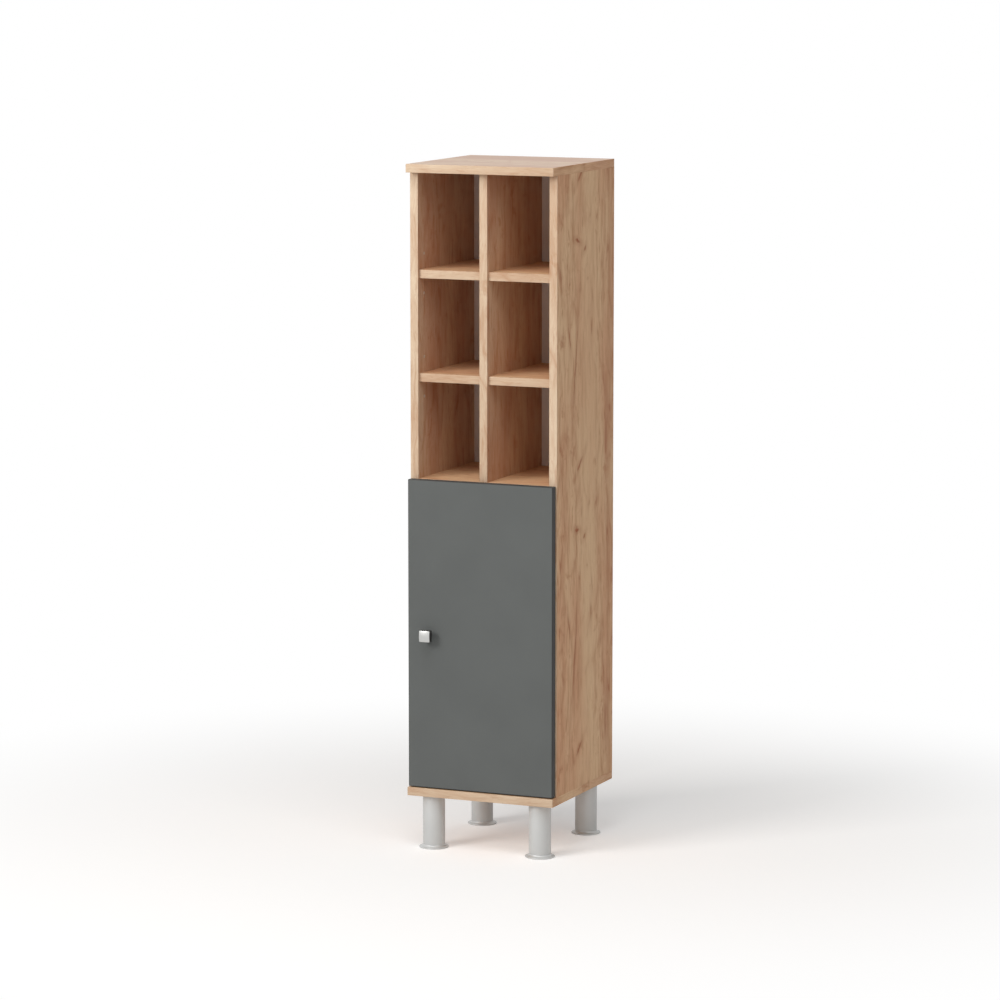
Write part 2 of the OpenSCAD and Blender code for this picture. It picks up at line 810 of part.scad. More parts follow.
module leg_studs() color("silver") for (place = leg_places)
    rod_z([place[0], place[1], leg_height], bush_height, sleeve_height, stud_radius);

top_panel();
bottom_panel();
left_side_panel();
right_side_panel();
deck_panel();
niche_divider();
upper_left_shelf();
upper_right_shelf();
lower_left_shelf();
lower_right_shelf();
inner_shelf();
back_sheet_panel();
door_panel();
top_panel_edging();
bottom_panel_edging();
side_panel_edging();
divider_edging();
deck_edging();
shelf_edging();
door_edging();
knob();
knob_screw();
door_bumpers();
upper_hinge_cup();
lower_hinge_cup();
upper_hinge_arm();
lower_hinge_arm();
upper_mounting_plate();
lower_mounting_plate();
hinge_front_links();
hinge_rear_links();
hinge_long_bars();
hinge_short_bars();
hinge_arm_pins();
hinge_front_link_pins();
hinge_rear_link_pins();
hinge_cup_pins();
hinge_cup_screws();
mounting_plate_screws();
hinge_arm_screws();
top_dowels();
bottom_dowels();
deck_dowels();
divider_dowels();
case_screws();
niche_shelf_pins();
inner_shelf_supports();
hole_plugs();
front_left_leg_tube();
front_right_leg_tube();
rear_left_leg_tube();
rear_right_leg_tube();
front_left_foot();
front_right_foot();
rear_left_foot();
rear_right_foot();
leg_top_bushes();
leg_studs();
leg_sleeves();
foot_bushes();
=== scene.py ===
"""Looks of a narrow bathroom cabinet: oak-look boards, a grey door, a square knob and round legs."""

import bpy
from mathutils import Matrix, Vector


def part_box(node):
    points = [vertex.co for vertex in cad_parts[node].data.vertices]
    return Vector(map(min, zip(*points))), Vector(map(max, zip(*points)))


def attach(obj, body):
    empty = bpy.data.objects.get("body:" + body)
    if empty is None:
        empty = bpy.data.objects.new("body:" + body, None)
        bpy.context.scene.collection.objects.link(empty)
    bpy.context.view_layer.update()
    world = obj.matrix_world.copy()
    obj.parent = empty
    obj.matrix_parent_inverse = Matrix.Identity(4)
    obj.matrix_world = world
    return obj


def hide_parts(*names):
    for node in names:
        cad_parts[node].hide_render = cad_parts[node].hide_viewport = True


bl_info = {
    "name": "Bathroom Cabinet Finish",
    "version": (1, 0, 0),
    "blender": (4, 5, 0),
    "location": "View3D > Sidebar > Cabinet",
    "description": "Adds the edging, knob, legs, materials and studio to the packed cabinet",
    "category": "Object",
}

import math

import bmesh
import bpy
from mathutils import Matrix, Vector

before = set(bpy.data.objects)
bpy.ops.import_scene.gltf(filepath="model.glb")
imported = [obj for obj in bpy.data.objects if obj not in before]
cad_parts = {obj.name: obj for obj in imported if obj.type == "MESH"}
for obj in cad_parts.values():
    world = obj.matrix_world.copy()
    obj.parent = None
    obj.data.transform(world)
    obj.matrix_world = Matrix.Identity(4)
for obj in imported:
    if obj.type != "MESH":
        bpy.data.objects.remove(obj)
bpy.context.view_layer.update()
MM = 0.001

# Points this near, in metres, count as one, and points this near a cut lie on it.
ONE_POINT = 1e-6
ON_CUT = 1e-7

# A board's faces: the axis that each looks along, and its sign.
LEFT = (0, -1)
RIGHT = (0, 1)
FRONT = (1, -1)
BOTTOM = (2, -1)
TOP = (2, 1)

UPWARD = (0, 0, 1)
REARWARD = (0, 1, 0)

# Turns that bring the grain of a lying board to Z.
GRAIN_ACROSS = (0, -math.pi / 2, 0)
GRAIN_INWARD = (math.pi / 2, 0, 0)

# The height, in metres, where one turn of the right side's printing roller starts, and the turn's length.
PRINT_START = 0.69
PRINT_REPEAT = 0.547


def linear(red, green, blue):
    """An sRGB colour from 0 to 255 as the linear values that shaders use."""
    return tuple(
        v / 255 / 12.92 if v <= 10.3 else ((v / 255 + 0.055) / 1.055) ** 2.4
        for v in (red, green, blue)
    )


WHITE = (1, 1, 1)
CLEAR_RUBBER = linear(215, 216, 214)
BLACK_PLASTIC = linear(38, 38, 38)
BRASS = linear(196, 164, 96)
BEECH = (linear(226, 192, 150), linear(210, 172, 128), linear(150, 112, 76))


def colour_setting(name, description, *tone):
    """A colour that the user can change, with its default from 0 to 255."""
    return bpy.props.FloatVectorProperty(
        name=name, description=description, default=linear(*tone), min=0, max=1, subtype="COLOR"
    )


def length_setting(name, description, default, low, high):
    """A length that the user can change, with its default and limits in millimetres."""
    return bpy.props.FloatProperty(
        name=name, description=description, default=default * MM, min=low * MM, max=high * MM,
        unit="LENGTH", precision=4,
    )


def power_setting(name, description, default):
    """A lamp's power that the user can change, in watts."""
    return bpy.props.FloatProperty(name=name, description=description, default=default, min=0, unit="POWER")


class CabinetBoardSettings(bpy.types.PropertyGroup):
    """Sizes and colours of the boards and their edging."""

    edge_round: length_setting("Edge round", "Radius on the outer corners of the edging", 0.5, 0.1, 0.9)
    oak_light: colour_setting("Oak light", "Palest colour of the oak print", 232, 196, 155)
    oak_body: colour_setting("Oak body", "Main colour of the oak print", 220, 173, 134)
    niche_light: colour_setting("Niche light", "Palest colour of the print round the niches", 216, 188, 158)
    niche_body: colour_setting("Niche body", "Main colour of the print round the niches", 200, 162, 134)
    oak_dark: colour_setting("Oak dark", "Colour of the streaks and smudges of the oak print", 166, 96, 54)
    oak_red: colour_setting("Oak red", "Colour of the rear band of the right side", 184, 130, 93)
    oak_rust: colour_setting("Oak rust", "Colour of the knots and cracks of the right side", 158, 84, 44)
    edging_light: colour_setting("Edging light", "Palest colour of the oak edging", 226, 205, 178)
    edging_body: colour_setting("Edging body", "Main colour of the oak edging", 210, 183, 155)
    edging_dark: colour_setting("Edging dark", "Colour of the streaks of the oak edging", 168, 108, 66)
    door_grey: colour_setting("Door grey", "Colour of the door leaf", 99, 102, 101)
    # The edging's grey is darker than the leaf's: painted shade on the door's edges, which are really the
    # same grey.
    door_edge_shade_grey: colour_setting("Door edge grey", "Colour of the edging of the door leaf", 76, 76, 75)
    back_pale: colour_setting("Back sheet", "Colour of the thin back sheet", 234, 233, 234)
    plug_pale: colour_setting("Hole plugs", "Colour of the caps in the spare pin holes", 205, 190, 172)


class CabinetMetalSettings(bpy.types.PropertyGroup):
    """Sizes and colours of the knob, hinges and legs."""

    knob_bright: colour_setting("Knob", "Colour of the polished knob", 194, 194, 192)
    # The knob's sides and neck take this darker colour as painted shade, standing in for the shaded door
    # that they reflect.
    knob_side_shade: colour_setting("Knob sides", "Colour of the knob's sides and neck", 110, 108, 106)
    knob_head: length_setting("Knob head", "Depth of the knob's square head", 12, 8, 16)
    knob_corner: length_setting("Knob corner", "Radius of the four corners of the head", 2, 1.6, 5)
    knob_crown: length_setting("Knob crown", "Radius of the ball that the face is a part of", 55, 30, 400)
    knob_edge: length_setting("Knob edge", "Radius round the knob's face", 0.7, 0.2, 1.5)
    knob_neck: length_setting("Knob neck", "Radius of the round neck", 5, 3, 8)
    leg_silver: colour_setting("Legs", "Colour of the leg tubes and feet", 203, 204, 203)
    nickel: colour_setting("Hinges", "Colour of the plated hinges and supports", 198, 195, 190)
    zinc: colour_setting("Screws", "Colour of the plated screws and pins", 178, 180, 184)


class CabinetStageSettings(bpy.types.PropertyGroup):
    """Floor, lights and camera."""

    floor_colour: colour_setting("Floor", "Colour of the studio floor", 240, 238, 236)
    floor_lift: bpy.props.FloatProperty(
        name="Floor lift", description="How much white the camera sees on top of the lit floor",
        default=0.3, min=0, max=1,
    )
    key_power: power_setting("Key light", "Power of the large lamp in front, to the left", 184)
    fill_power: power_setting("Fill light", "Power of the soft lamp on the right", 27)
    top_power: power_setting("Top light", "Power of the soft lamp overhead", 46)
    sky_strength: bpy.props.FloatProperty(
        name="Surroundings", description="Strength of the even light from all round", default=0.27, min=0
    )
    camera_place: bpy.props.FloatVectorProperty(
        name="Camera", description="Where the photograph was taken from",
        default=(3.2430, -7.5624, 1.8242), subtype="TRANSLATION", unit="LENGTH",
    )
    camera_turn: bpy.props.FloatProperty(
        name="Camera turn", description="Angle of the camera to the left of straight ahead",
        default=0.4071, subtype="ANGLE",
    )
    camera_tilt: bpy.props.FloatProperty(
        name="Camera tilt", description="Angle of the camera below the horizon",
        default=0.1401, subtype="ANGLE",
    )
    camera_lens: bpy.props.FloatProperty(
        name="Lens", description="Focal length in millimetres on a 36 mm sensor", default=156.73, min=20
    )


# Shader trees. Each node's place in its editor is given in steps of this many points.

NODE_STEP = 200
COLOUR = "NodeSocketColor"
NUMBER = "NodeSocketFloat"
VECTOR = "NodeSocketVector"

# The mix node's sockets for colours. Its other kinds have sockets of the same names.
MIX_FIRST = 6
MIX_SECOND = 7
MIX_RESULT = 2


def empty_tree(owner):
    """The node tree of a material or of the surroundings, without its first nodes."""
    owner.use_nodes = True
    owner.node_tree.nodes.clear()
    return owner.node_tree


def feed(tree, sockets, values):
    """Fills sockets, by name or number, from other sockets or with numbers, vectors or colours."""
    for name, value in values.items():
        if isinstance(value, bpy.types.NodeSocket):
            tree.links.new(value, sockets[name])
        elif sockets[name].type == "RGBA":
            sockets[name].default_value = (*value, 1)
        else:
            sockets[name].default_value = value


def new_node(tree, kind, at, values=None, **properties):
    """A node with its properties set and its inputs filled."""
    node = tree.nodes.new(kind)
    node.location = (at[0] * NODE_STEP, at[1] * NODE_STEP)
    for name, value in properties.items():
        setattr(node, name, value)
    feed(tree, node.inputs, values or {})
    return node


def stretched(tree, source, scale, at):
    """Coordinates stretched by a scale of their own for each direction."""
    return new_node(tree, "ShaderNodeMapping", at, {"Vector": source, "Scale": scale}).outputs["Vector"]


def noise(tree, source, scale, at, detail=3.0, roughness=0.5, output="Fac"):
    """The value, or the colour, of a noise on stretched coordinates."""
    place = stretched(tree, source, scale, (at[0] - 1, at[1]))
    values = {"Vector": place, "Scale": 1.0, "Detail": detail, "Roughness": roughness}
    return new_node(tree, "ShaderNodeTexNoise", at, values).outputs[output]


def between(tree, value, given, at, wanted=(0.0, 1.0)):
    """The value carried from the given range to the wanted one, smoothly and without overshoot."""
    values = {
        "Value": value, "From Min": given[0], "From Max": given[1], "To Min": wanted[0], "To Max": wanted[1]
    }
    node = new_node(tree, "ShaderNodeMapRange", at, values, interpolation_type="SMOOTHSTEP")
    return node.outputs["Result"]


def calculate(tree, operation, first, second, at):
    """The result of one operation on two values, each a socket or a number."""
    node = new_node(tree, "ShaderNodeMath", at, {0: first, 1: second}, operation=operation)
    return node.outputs["Value"]


def times(tree, first, second, at):
    """The product of two values."""
    return calculate(tree, "MULTIPLY", first, second, at)


def calculate_vector(tree, operation, values, at, output="Vector"):
    """The result of one operation on vectors, each a socket or three numbers."""
    node = new_node(tree, "ShaderNodeVectorMath", at, dict(enumerate(values)), operation=operation)
    return node.outputs[output]


def split(tree, vector, at):
    """The three parts of a vector."""
    return new_node(tree, "ShaderNodeSeparateXYZ", at, {"Vector": vector}).outputs


def blend_colour(tree, share, first, second, at):
    """A colour between two others, each a socket or a colour."""
    values = {"Factor": share, MIX_FIRST: first, MIX_SECOND: second}
    return new_node(tree, "ShaderNodeMix", at, values, data_type="RGBA").outputs[MIX_RESULT]


def bent(tree, source, scale, reach, at):
    """Coordinates pushed about by a slow noise."""
    push = noise(tree, source, scale, at, detail=2, output="Color")
    middle = calculate_vector(tree, "SUBTRACT", (push, (0.5, 0.5, 0.5)), (at[0] + 1, at[1]))
    return calculate_vector(tree, "MULTIPLY_ADD", (middle, reach, source), (at[0] + 2, at[1]))


def repeated(tree, source, start, span, at):
    """Coordinates that start again along Z, as a printed pattern does after one turn of its roller."""
    parts = split(tree, source, at)
    limits = {0: parts["Z"], 1: start + span, 2: start}
    wrap = new_node(tree, "ShaderNodeMath", (at[0] + 1, at[1] - 1), limits, operation="WRAP")
    values = {"Y": parts["Y"], "Z": wrap.outputs["Value"]}
    return new_node(tree, "ShaderNodeCombineXYZ", (at[0] + 2, at[1]), values).outputs["Vector"]


def group_tree(name, inputs, outputs):
    """A new shader node group with its named sockets: its tree, what it is given and what it makes."""
    tree = bpy.data.node_groups.new(name, "ShaderNodeTree")
    for side, sockets in (("INPUT", inputs), ("OUTPUT", outputs)):
        for label, kind in sockets.items():
            tree.interface.new_socket(label, in_out=side, socket_type=kind)
    given = new_node(tree, "NodeGroupInput", (-9, 0))
    made = new_node(tree, "NodeGroupOutput", (9, 0))
    return tree, given.outputs, made.inputs


def oak_figure(name):
    """Oak print with its grain along Z: flames, streaks, fibres, pores, dashes and smudged knots."""
    tree, given, made = group_tree(
        name,
        {
            "Vector": VECTOR, "Light": COLOUR, "Body": COLOUR, "Dark": COLOUR,
            "Figure": NUMBER, "Knots": NUMBER,
        },
        {"Color": COLOUR, "Roughness": NUMBER, "Height": NUMBER},
    )
    wavy = bent(tree, given["Vector"], (9, 9, 7), (0.03, 0.03, 0.02), (-7, 2))
    tone = noise(tree, given["Vector"], (11, 11, 2.2), (-4, 1))
    swell = noise(tree, wavy, (8, 8, 1.5), (-4, 5), detail=1, roughness=0.4)
    broken = noise(tree, wavy, (34, 34, 13), (-4, 4), roughness=0.65)
    streaks = noise(tree, wavy, (44, 44, 5.5), (-4, 3), detail=5, roughness=0.66)
    fibres = noise(tree, wavy, (480, 480, 22), (-4, 0), roughness=0.6)
    pores = noise(tree, wavy, (700, 700, 40), (-4, -1), detail=1)
    dashes = noise(tree, wavy, (110, 110, 19), (-4, -2), detail=2, roughness=0.6)
    strands = noise(tree, wavy, (130, 130, 16), (-4, -3), roughness=0.6)
    smudges = noise(tree, wavy, (24, 24, 26), (-4, -4), roughness=0.6)

    ring_spread = 95.0
    spread = times(tree, swell, ring_spread, (-2, 5))
    rings = new_node(tree, "ShaderNodeMath", (-1, 5), {0: spread}, operation="SINE").outputs["Value"]
    flame = times(
        tree, between(tree, rings, (0.1, 1.0), (0, 4)), between(tree, broken, (0.4, 0.6), (-2, 4)), (1, 4)
    )
    line = times(
        tree, between(tree, rings, (0.9, 1.0), (0, 6)), between(tree, broken, (0.46, 0.58), (-2, 6)), (1, 6)
    )
    pore = between(tree, pores, (0.62, 0.72), (-2, -1), (0.0, 0.25))
    figured = (
        times(tree, flame, 0.22, (2, 4)),
        times(tree, line, 0.25, (2, 6)),
        between(tree, streaks, (0.3, 0.54), (-2, 3), (0.36, 0.0)),
        between(tree, smudges, (0.6, 0.74), (-2, -4), (0.0, 0.4)),
        between(tree, dashes, (0.6, 0.72), (-2, -2), (0.0, 0.38)),
        between(tree, strands, (0.36, 0.52), (-2, -3), (0.18, 0.0)),
    )
    shares = [times(tree, share, given["Figure"], (step, 2)) for step, share in enumerate(figured)]
    shares += [between(tree, fibres, (0.3, 0.7), (-2, 0), (0.18, 0.0)), pore]
    colour = blend_colour(
        tree, between(tree, tone, (0.38, 0.62), (-2, 1)), given["Body"], given["Light"], (0, 5)
    )
    for step, share in enumerate(shares):
        colour = blend_colour(tree, share, colour, given["Dark"], (step + 1, 3))

    cells = stretched(tree, wavy, (7, 7, 4.5), (-5, -6))
    knots = new_node(tree, "ShaderNodeTexVoronoi", (-4, -6), {"Vector": cells, "Scale": 1.0}).outputs
    chosen = new_node(tree, "ShaderNodeSeparateColor", (-3, -7), {"Color": knots["Color"]})
    rare = between(tree, chosen.outputs["Red"], (0.55, 0.6), (-2, -7))
    eye = between(tree, knots["Distance"], (0.02, 0.1), (-2, -6), (0.75, 0.0))
    halo = between(tree, knots["Distance"], (0.06, 0.3), (-2, -5), (0.22, 0.0))
    knot = times(tree, calculate(tree, "MAXIMUM", eye, halo, (-1, -6)), rare, (0, -6))
    knot = times(tree, knot, given["Knots"], (1, -6))
    values = {
        "Color": blend_colour(tree, knot, colour, given["Dark"], (8, 3)),
        "Roughness": between(tree, fibres, (0.3, 0.7), (6, 0), (0.64, 0.52)),
        "Height": calculate(tree, "SUBTRACT", fibres, pore, (6, -1)),
    }
    feed(tree, made, values)


def grain_mark(name):
    """One knot, smear or crack at a stated place on the grain: a dark eye in a softer halo."""
    inputs = {
        "Vector": VECTOR, "Color": COLOUR, "Mark": COLOUR, "Place": VECTOR, "Reach": VECTOR,
        "Lean": NUMBER, "Strength": NUMBER,
    }
    tree, given, made = group_tree(name, inputs, {"Color": COLOUR})
    away = calculate_vector(tree, "SUBTRACT", (given["Vector"], given["Place"]), (-3, 1))
    parts = split(tree, away, (-2, 0))
    slope = times(tree, parts["Z"], given["Lean"], (-1, -1))
    values = {"Y": calculate(tree, "SUBTRACT", parts["Y"], slope, (0, -1)), "Z": parts["Z"]}
    upright = new_node(tree, "ShaderNodeCombineXYZ", (1, 0), values).outputs["Vector"]
    sized = calculate_vector(tree, "DIVIDE", (upright, given["Reach"]), (2, 1))
    span = calculate_vector(tree, "LENGTH", (sized,), (3, 1), output="Value")
    eye = between(tree, span, (0.2, 1.15), (4, 1), (1.0, 0.0))
    halo = between(tree, span, (0.8, 2.6), (4, 0), (0.25, 0.0))
    share = times(tree, calculate(tree, "MAXIMUM", eye, halo, (5, 1)), given["Strength"], (5, 0))
    feed(tree, made, {"Color": blend_colour(tree, share, given["Color"], given["Mark"], (6, 2))})


def surface_wear(name):
    """Soft unevenness of a plain finish: a faint tone drift, a fine texture and small smudges."""
    tree, given, made = group_tree(
        name,
        {"Vector": VECTOR, "Color": COLOUR, "Roughness": NUMBER, "Texture": NUMBER, "Drift": NUMBER},
        {"Color": COLOUR, "Roughness": NUMBER, "Height": NUMBER},
    )
    slow = noise(tree, given["Vector"], (9, 9, 9), (-4, 2))
    smudge = noise(tree, given["Vector"], (38, 38, 22), (-4, 0), detail=4, roughness=0.6)
    values = {"Vector": given["Vector"], "Scale": given["Texture"], "Detail": 2.0}
    fine = new_node(tree, "ShaderNodeTexNoise", (-4, -2), values).outputs["Fac"]
    swing = times(tree, between(tree, slow, (0.3, 0.7), (-2, 2), (-1.0, 1.0)), given["Drift"], (-1, 2))
    speck = times(tree, between(tree, fine, (0.3, 0.7), (-2, -1), (-0.5, 0.5)), given["Drift"], (-1, -1))
    level = calculate(tree, "ADD", calculate(tree, "ADD", swing, speck, (0, 1)), 1.0, (1, 1))
    tint = new_node(
        tree, "ShaderNodeVectorMath", (2, 1), {0: given["Color"], "Scale": level}, operation="SCALE"
    )
    duller = between(tree, smudge, (0.35, 0.7), (0, -1), (-0.04, 0.06))
    values = {
        "Color": tint.outputs["Vector"],
        "Roughness": calculate(tree, "ADD", duller, given["Roughness"], (2, -1)),
        "Height": fine,
    }
    feed(tree, made, values)


GROUPS = {"Oak figure": oak_figure, "Grain mark": grain_mark, "Surface wear": surface_wear}


def place_group(tree, name, at, values, **properties):
    """A node group placed in a material. The group is built when it is first used."""
    if name not in bpy.data.node_groups:
        GROUPS[name](name)
    return new_node(
        tree, "ShaderNodeGroup", at, values, node_tree=bpy.data.node_groups[name], **properties
    ).outputs


def new_material(name):
    """A new material: itself, its tree, its shader's inputs and its coordinates on the object."""
    material = bpy.data.materials.new(name)
    tree = empty_tree(material)
    shader = new_node(tree, "ShaderNodeBsdfPrincipled", (3, 0))
    new_node(tree, "ShaderNodeOutputMaterial", (5, 0), {"Surface": shader.outputs["BSDF"]})
    coordinates = new_node(tree, "ShaderNodeTexCoord", (-5, 0))
    return material, tree, shader.inputs, coordinates.outputs


def bump(tree, height, strength, distance):
    """The normal of a surface raised by a height."""
    values = {"Strength": strength, "Distance": distance, "Height": height}
    return new_node(tree, "ShaderNodeBump", (2, -2), values).outputs["Normal"]


def marked(tree, place, colour, marks):
    """The colour with knots and cracks at stated places, which come again with each turn of the roller.

    Each mark is (what it is, across, along, half width, half length, lean, strength, colour).
    """
    ragged = bent(tree, place, (70, 70, 38), (0.0, 0.006, 0.01), (-8, 3))
    pattern = repeated(tree, ragged, PRINT_START, PRINT_REPEAT, (-4, 3))
    for step, (label, across, along, width, length, lean, strength, tone) in enumerate(marks):
        values = {
            "Vector": pattern, "Color": colour, "Mark": tone, "Place": (0, across, along),
            "Reach": (1, width, length), "Lean": lean, "Strength": strength,
        }
        colour = place_group(tree, "Grain mark", (step - 1, 2), values, label=label)["Color"]
    return colour


def oak_material(
    name, tones, turn=(0, 0, 0), offset=(0, 0, 0), figure=1.0, knots=1.0, specular=0.2, coat=0.0, marks=()
):
    """An oak print in three tones: light, body and dark.

    The turn brings the board's grain to Z, and the offset picks another stretch of the print.
    """
    material, tree, shader, place = new_material(name)
    mapping = {"Vector": place["Object"], "Location": offset, "Rotation": turn}
    light, body, dark = tones
    values = {
        "Vector": new_node(tree, "ShaderNodeMapping", (-4, 0), mapping).outputs["Vector"],
        "Light": light, "Body": body, "Dark": dark, "Figure": figure, "Knots": knots,
    }
    oak = place_group(tree, "Oak figure", (-2, 0), values)
    values = {
        "Base Color": marked(tree, place["Object"], oak["Color"], marks) if marks else oak["Color"],
        "Roughness": oak["Roughness"],
        "Specular IOR Level": specular,
        "Coat Weight": coat,
        "Coat Roughness": 0.3,
        "Normal": bump(tree, oak["Height"], strength=0.12, distance=0.4 * MM),
    }
    feed(tree, shader, values)
    return material


def shaded_sides(tree, normal, colour, sides):
    """The colour with a darker one on the surfaces that turn away from the door's face: painted shade
    standing in for the shaded door that they reflect.
    """
    share = between(tree, split(tree, normal, (-4, 3))["Y"], (-0.92, -0.6), (-3, 3))
    return blend_colour(tree, share, colour, sides, (1, 3))


def plain_material(
    name, colour, roughness, texture, drift, raised=0.1, metallic=0.0, specular=0.5, sides=None
):
    """A plain finish with the surface wear on it, and with painted shade in another colour on its sides if
    one is given.
    """
    material, tree, shader, place = new_material(name)
    values = {
        "Vector": place["Object"], "Color": colour, "Roughness": roughness, "Texture": texture,
        "Drift": drift,
    }
    wear = place_group(tree, "Surface wear", (-1, 0), values)
    colour = wear["Color"]
    if sides is not None:
        colour = shaded_sides(tree, place["Normal"], colour, sides)
    values = {
        "Base Color": colour,
        "Roughness": wear["Roughness"],
        "Metallic": metallic,
        "Specular IOR Level": specular,
        "Normal": bump(tree, wear["Height"], strength=raised, distance=0.2 * MM),
    }
    feed(tree, shader, values)
    return material


def zinc_material(name, look, roughness=0.36, drift=0.05):
    """The zinc plating of screws, pins and studs."""
    return plain_material(name, look.zinc, roughness=roughness, texture=1800, drift=drift, metallic=1.0)


# Shapes


def paint(material, *nodes):
    """Gives CAD nodes a material."""
    for name in nodes:
        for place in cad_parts[name].material_slots:
            place.material = material


def new_object(name, data):
    """An object in the scene, at the origin."""
    made = bpy.data.objects.new(name, data)
    bpy.context.scene.collection.objects.link(made)
    return made


def finish_piece(bm, name, body, slot, material, *nodes, smooth=40):
    """Makes a bmesh a piece that rides on its body, has its finish and stands for its CAD nodes."""
    mesh = bpy.data.meshes.new(name)
    bm.to_mesh(mesh)
    bm.free()
    mesh.polygons.foreach_set("use_smooth", [True] * len(mesh.polygons))
    mesh.set_sharp_from_angle(angle=math.radians(smooth))
    mesh.materials.append(material)
    piece = new_object(name, mesh)
    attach(piece, body)
    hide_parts(*nodes)


def add_block(bm, low, high):
    """Adds a box between two corners to a bmesh."""
    size = Vector(high) - Vector(low)
    place = Matrix.Translation((Vector(low) + Vector(high)) / 2) @ Matrix.Diagonal((*size, 1.0))
    bmesh.ops.create_cube(bm, size=1.0, matrix=place)


def round_edges(bm, edges, radius, segments):
    """Rounds edges of a bmesh."""
    bmesh.ops.bevel(
        bm, geom=edges, offset=radius, offset_type="OFFSET", segments=segments, profile=0.5,
        affect="EDGES", material=-1, clamp_overlap=True,
    )


def cut_off(bm, point, away):
    """Cuts the bmesh at a plane, drops the side that away points to, and closes the cut."""
    geometry = bm.verts[:] + bm.edges[:] + bm.faces[:]
    cut = bmesh.ops.bisect_plane(
        bm, geom=geometry, dist=ON_CUT, plane_co=point, plane_no=away, clear_outer=True, clear_inner=False
    )
    edges = [e for e in cut["geom_cut"] if isinstance(e, bmesh.types.BMEdge)]
    bmesh.ops.holes_fill(bm, edges=edges, sides=0)


def edging_strip(low, high, thickness, edged, keep, radius):
    """One strip of a board's edging: the whole board with its edges rounded, cut down to the strip.

    edged lists the board's edged faces, and keep is the one that this strip is on. The first strip runs
    full length, and the ones across it stop behind it.
    """
    bm = bmesh.new()
    add_block(bm, low, high)
    planes = {(axis, sign): (low, high)[sign > 0][axis] for axis, sign in edged}

    def on_edged(vertex, face):
        return abs(vertex.co[face[0]] - planes[face]) < ONE_POINT

    rounded = [e for e in bm.edges if any(all(on_edged(v, f) for v in e.verts) for f in edged)]
    round_edges(bm, rounded, radius, segments=3)
    for face in edged[: edged.index(keep) + 1]:
        axis, sign = face
        if axis == keep[0] and face != keep:
            continue
        point = Vector((0, 0, 0))
        point[axis] = planes[face] - sign * thickness
        away = Vector((0, 0, 0))
        away[axis] = -sign if face == keep else sign
        cut_off(bm, point, away)
    return bm


def add_bmesh(target, source):
    """Adds one bmesh's geometry to another and frees the source."""
    mesh = bpy.data.meshes.new("part")
    source.to_mesh(mesh)
    source.free()
    target.from_mesh(mesh)
    bpy.data.meshes.remove(mesh)


def board_edging(target, board, outside, edged, radius, kept=None):
    """Adds a board's edging, or the strips to keep, from the board's box and the one outside its edging."""
    thickness = max(abs(board[sign > 0][axis] - outside[sign > 0][axis]) for axis, sign in edged)
    low = Vector(map(min, board[0], outside[0]))
    high = Vector(map(max, board[1], outside[1]))
    for keep in kept or edged:
        add_bmesh(target, edging_strip(low, high, thickness, edged, keep, radius))


def spun(bm, profile, centre, axis, steps, closed=False):
    """Adds a turned shape to a bmesh, from a profile of (radius, distance along the axis) points."""
    axis = Vector(axis)
    side = axis.orthogonal().normalized()
    origin = Vector(centre)
    verts = [bm.verts.new(origin + side * r + axis * z) for r, z in profile]
    pairs = list(zip(verts, verts[1:])) + ([(verts[-1], verts[0])] if closed else [])
    edges = [bm.edges.new(pair) for pair in pairs]
    bmesh.ops.spin(
        bm, geom=verts + edges, cent=origin, axis=axis, angle=math.tau, steps=steps, use_merge=True,
        use_duplicate=False,
    )
    bmesh.ops.remove_doubles(bm, verts=bm.verts[:], dist=ONE_POINT)
    bmesh.ops.recalc_face_normals(bm, faces=bm.faces[:])


def arc(centre, radius, start, end, steps):
    """Profile points on an arc, with its angles in degrees."""
    angles = [math.radians(start + (end - start) * i / steps) for i in range(steps + 1)]
    return [(centre[0] + radius * math.cos(a), centre[1] + radius * math.sin(a)) for a in angles]


def right_side_marks(look):
    """The knots, cracks and bands of the right side, as marked() takes them."""
    light = look.oak_light
    red = look.oak_red
    rust = look.oak_rust
    return (
        ("pale middle band", 0.035, 0.96, 0.06, 9.0, 0.0, 0.55, light),
        ("reddish rear band", 0.138, 0.96, 0.016, 9.0, 0.0, 0.35, red),
        ("slanting upper knot", -0.021, 1.165, 0.014, 0.006, -1.4, 0.95, rust),
        ("knot behind it", 0.015, 1.148, 0.008, 0.008, 0.6, 0.75, rust),
        ("slanting lower knot", -0.008, 0.742, 0.008, 0.018, 1.0, 0.8, rust),
        ("dash above the knots", 0.039, 1.210, 0.004, 0.009, 0.2, 0.45, rust),
        ("second dash", 0.073, 1.206, 0.005, 0.008, 0.2, 0.5, rust),
        ("longer dash", 0.002, 1.199, 0.005, 0.018, 0.1, 0.42, rust),
        ("rear dash", 0.131, 1.141, 0.005, 0.014, 0.0, 0.7, rust),
        ("front dash", -0.103, 1.104, 0.005, 0.018, -0.22, 0.6, rust),
        ("speck", 0.030, 1.091, 0.006, 0.006, 0.0, 0.3, rust),
        ("second speck", -0.009, 1.072, 0.005, 0.007, 0.0, 0.35, rust),
        ("thin crack", 0.054, 1.055, 0.004, 0.024, -0.2, 0.4, rust),
        ("leaning crack", -0.059, 0.983, 0.005, 0.034, -0.29, 0.7, rust),
        ("long crack", -0.031, 0.925, 0.005, 0.105, 0.14, 0.75, rust),
        ("upright crack", 0.050, 0.998, 0.005, 0.026, 0.0, 0.6, rust),
        ("short crack", 0.079, 0.984, 0.004, 0.010, -0.16, 0.4, rust),
        ("faint front smear", -0.100, 0.982, 0.010, 0.014, -1.0, 0.25, rust),
        ("thin rear crack", 0.113, 0.883, 0.004, 0.036, -0.18, 0.4, rust),
        ("short rear crack", 0.142, 0.833, 0.005, 0.014, -0.24, 0.65, rust),
        ("wide rear crack", 0.124, 0.772, 0.008, 0.055, 0.0, 0.6, rust),
    )


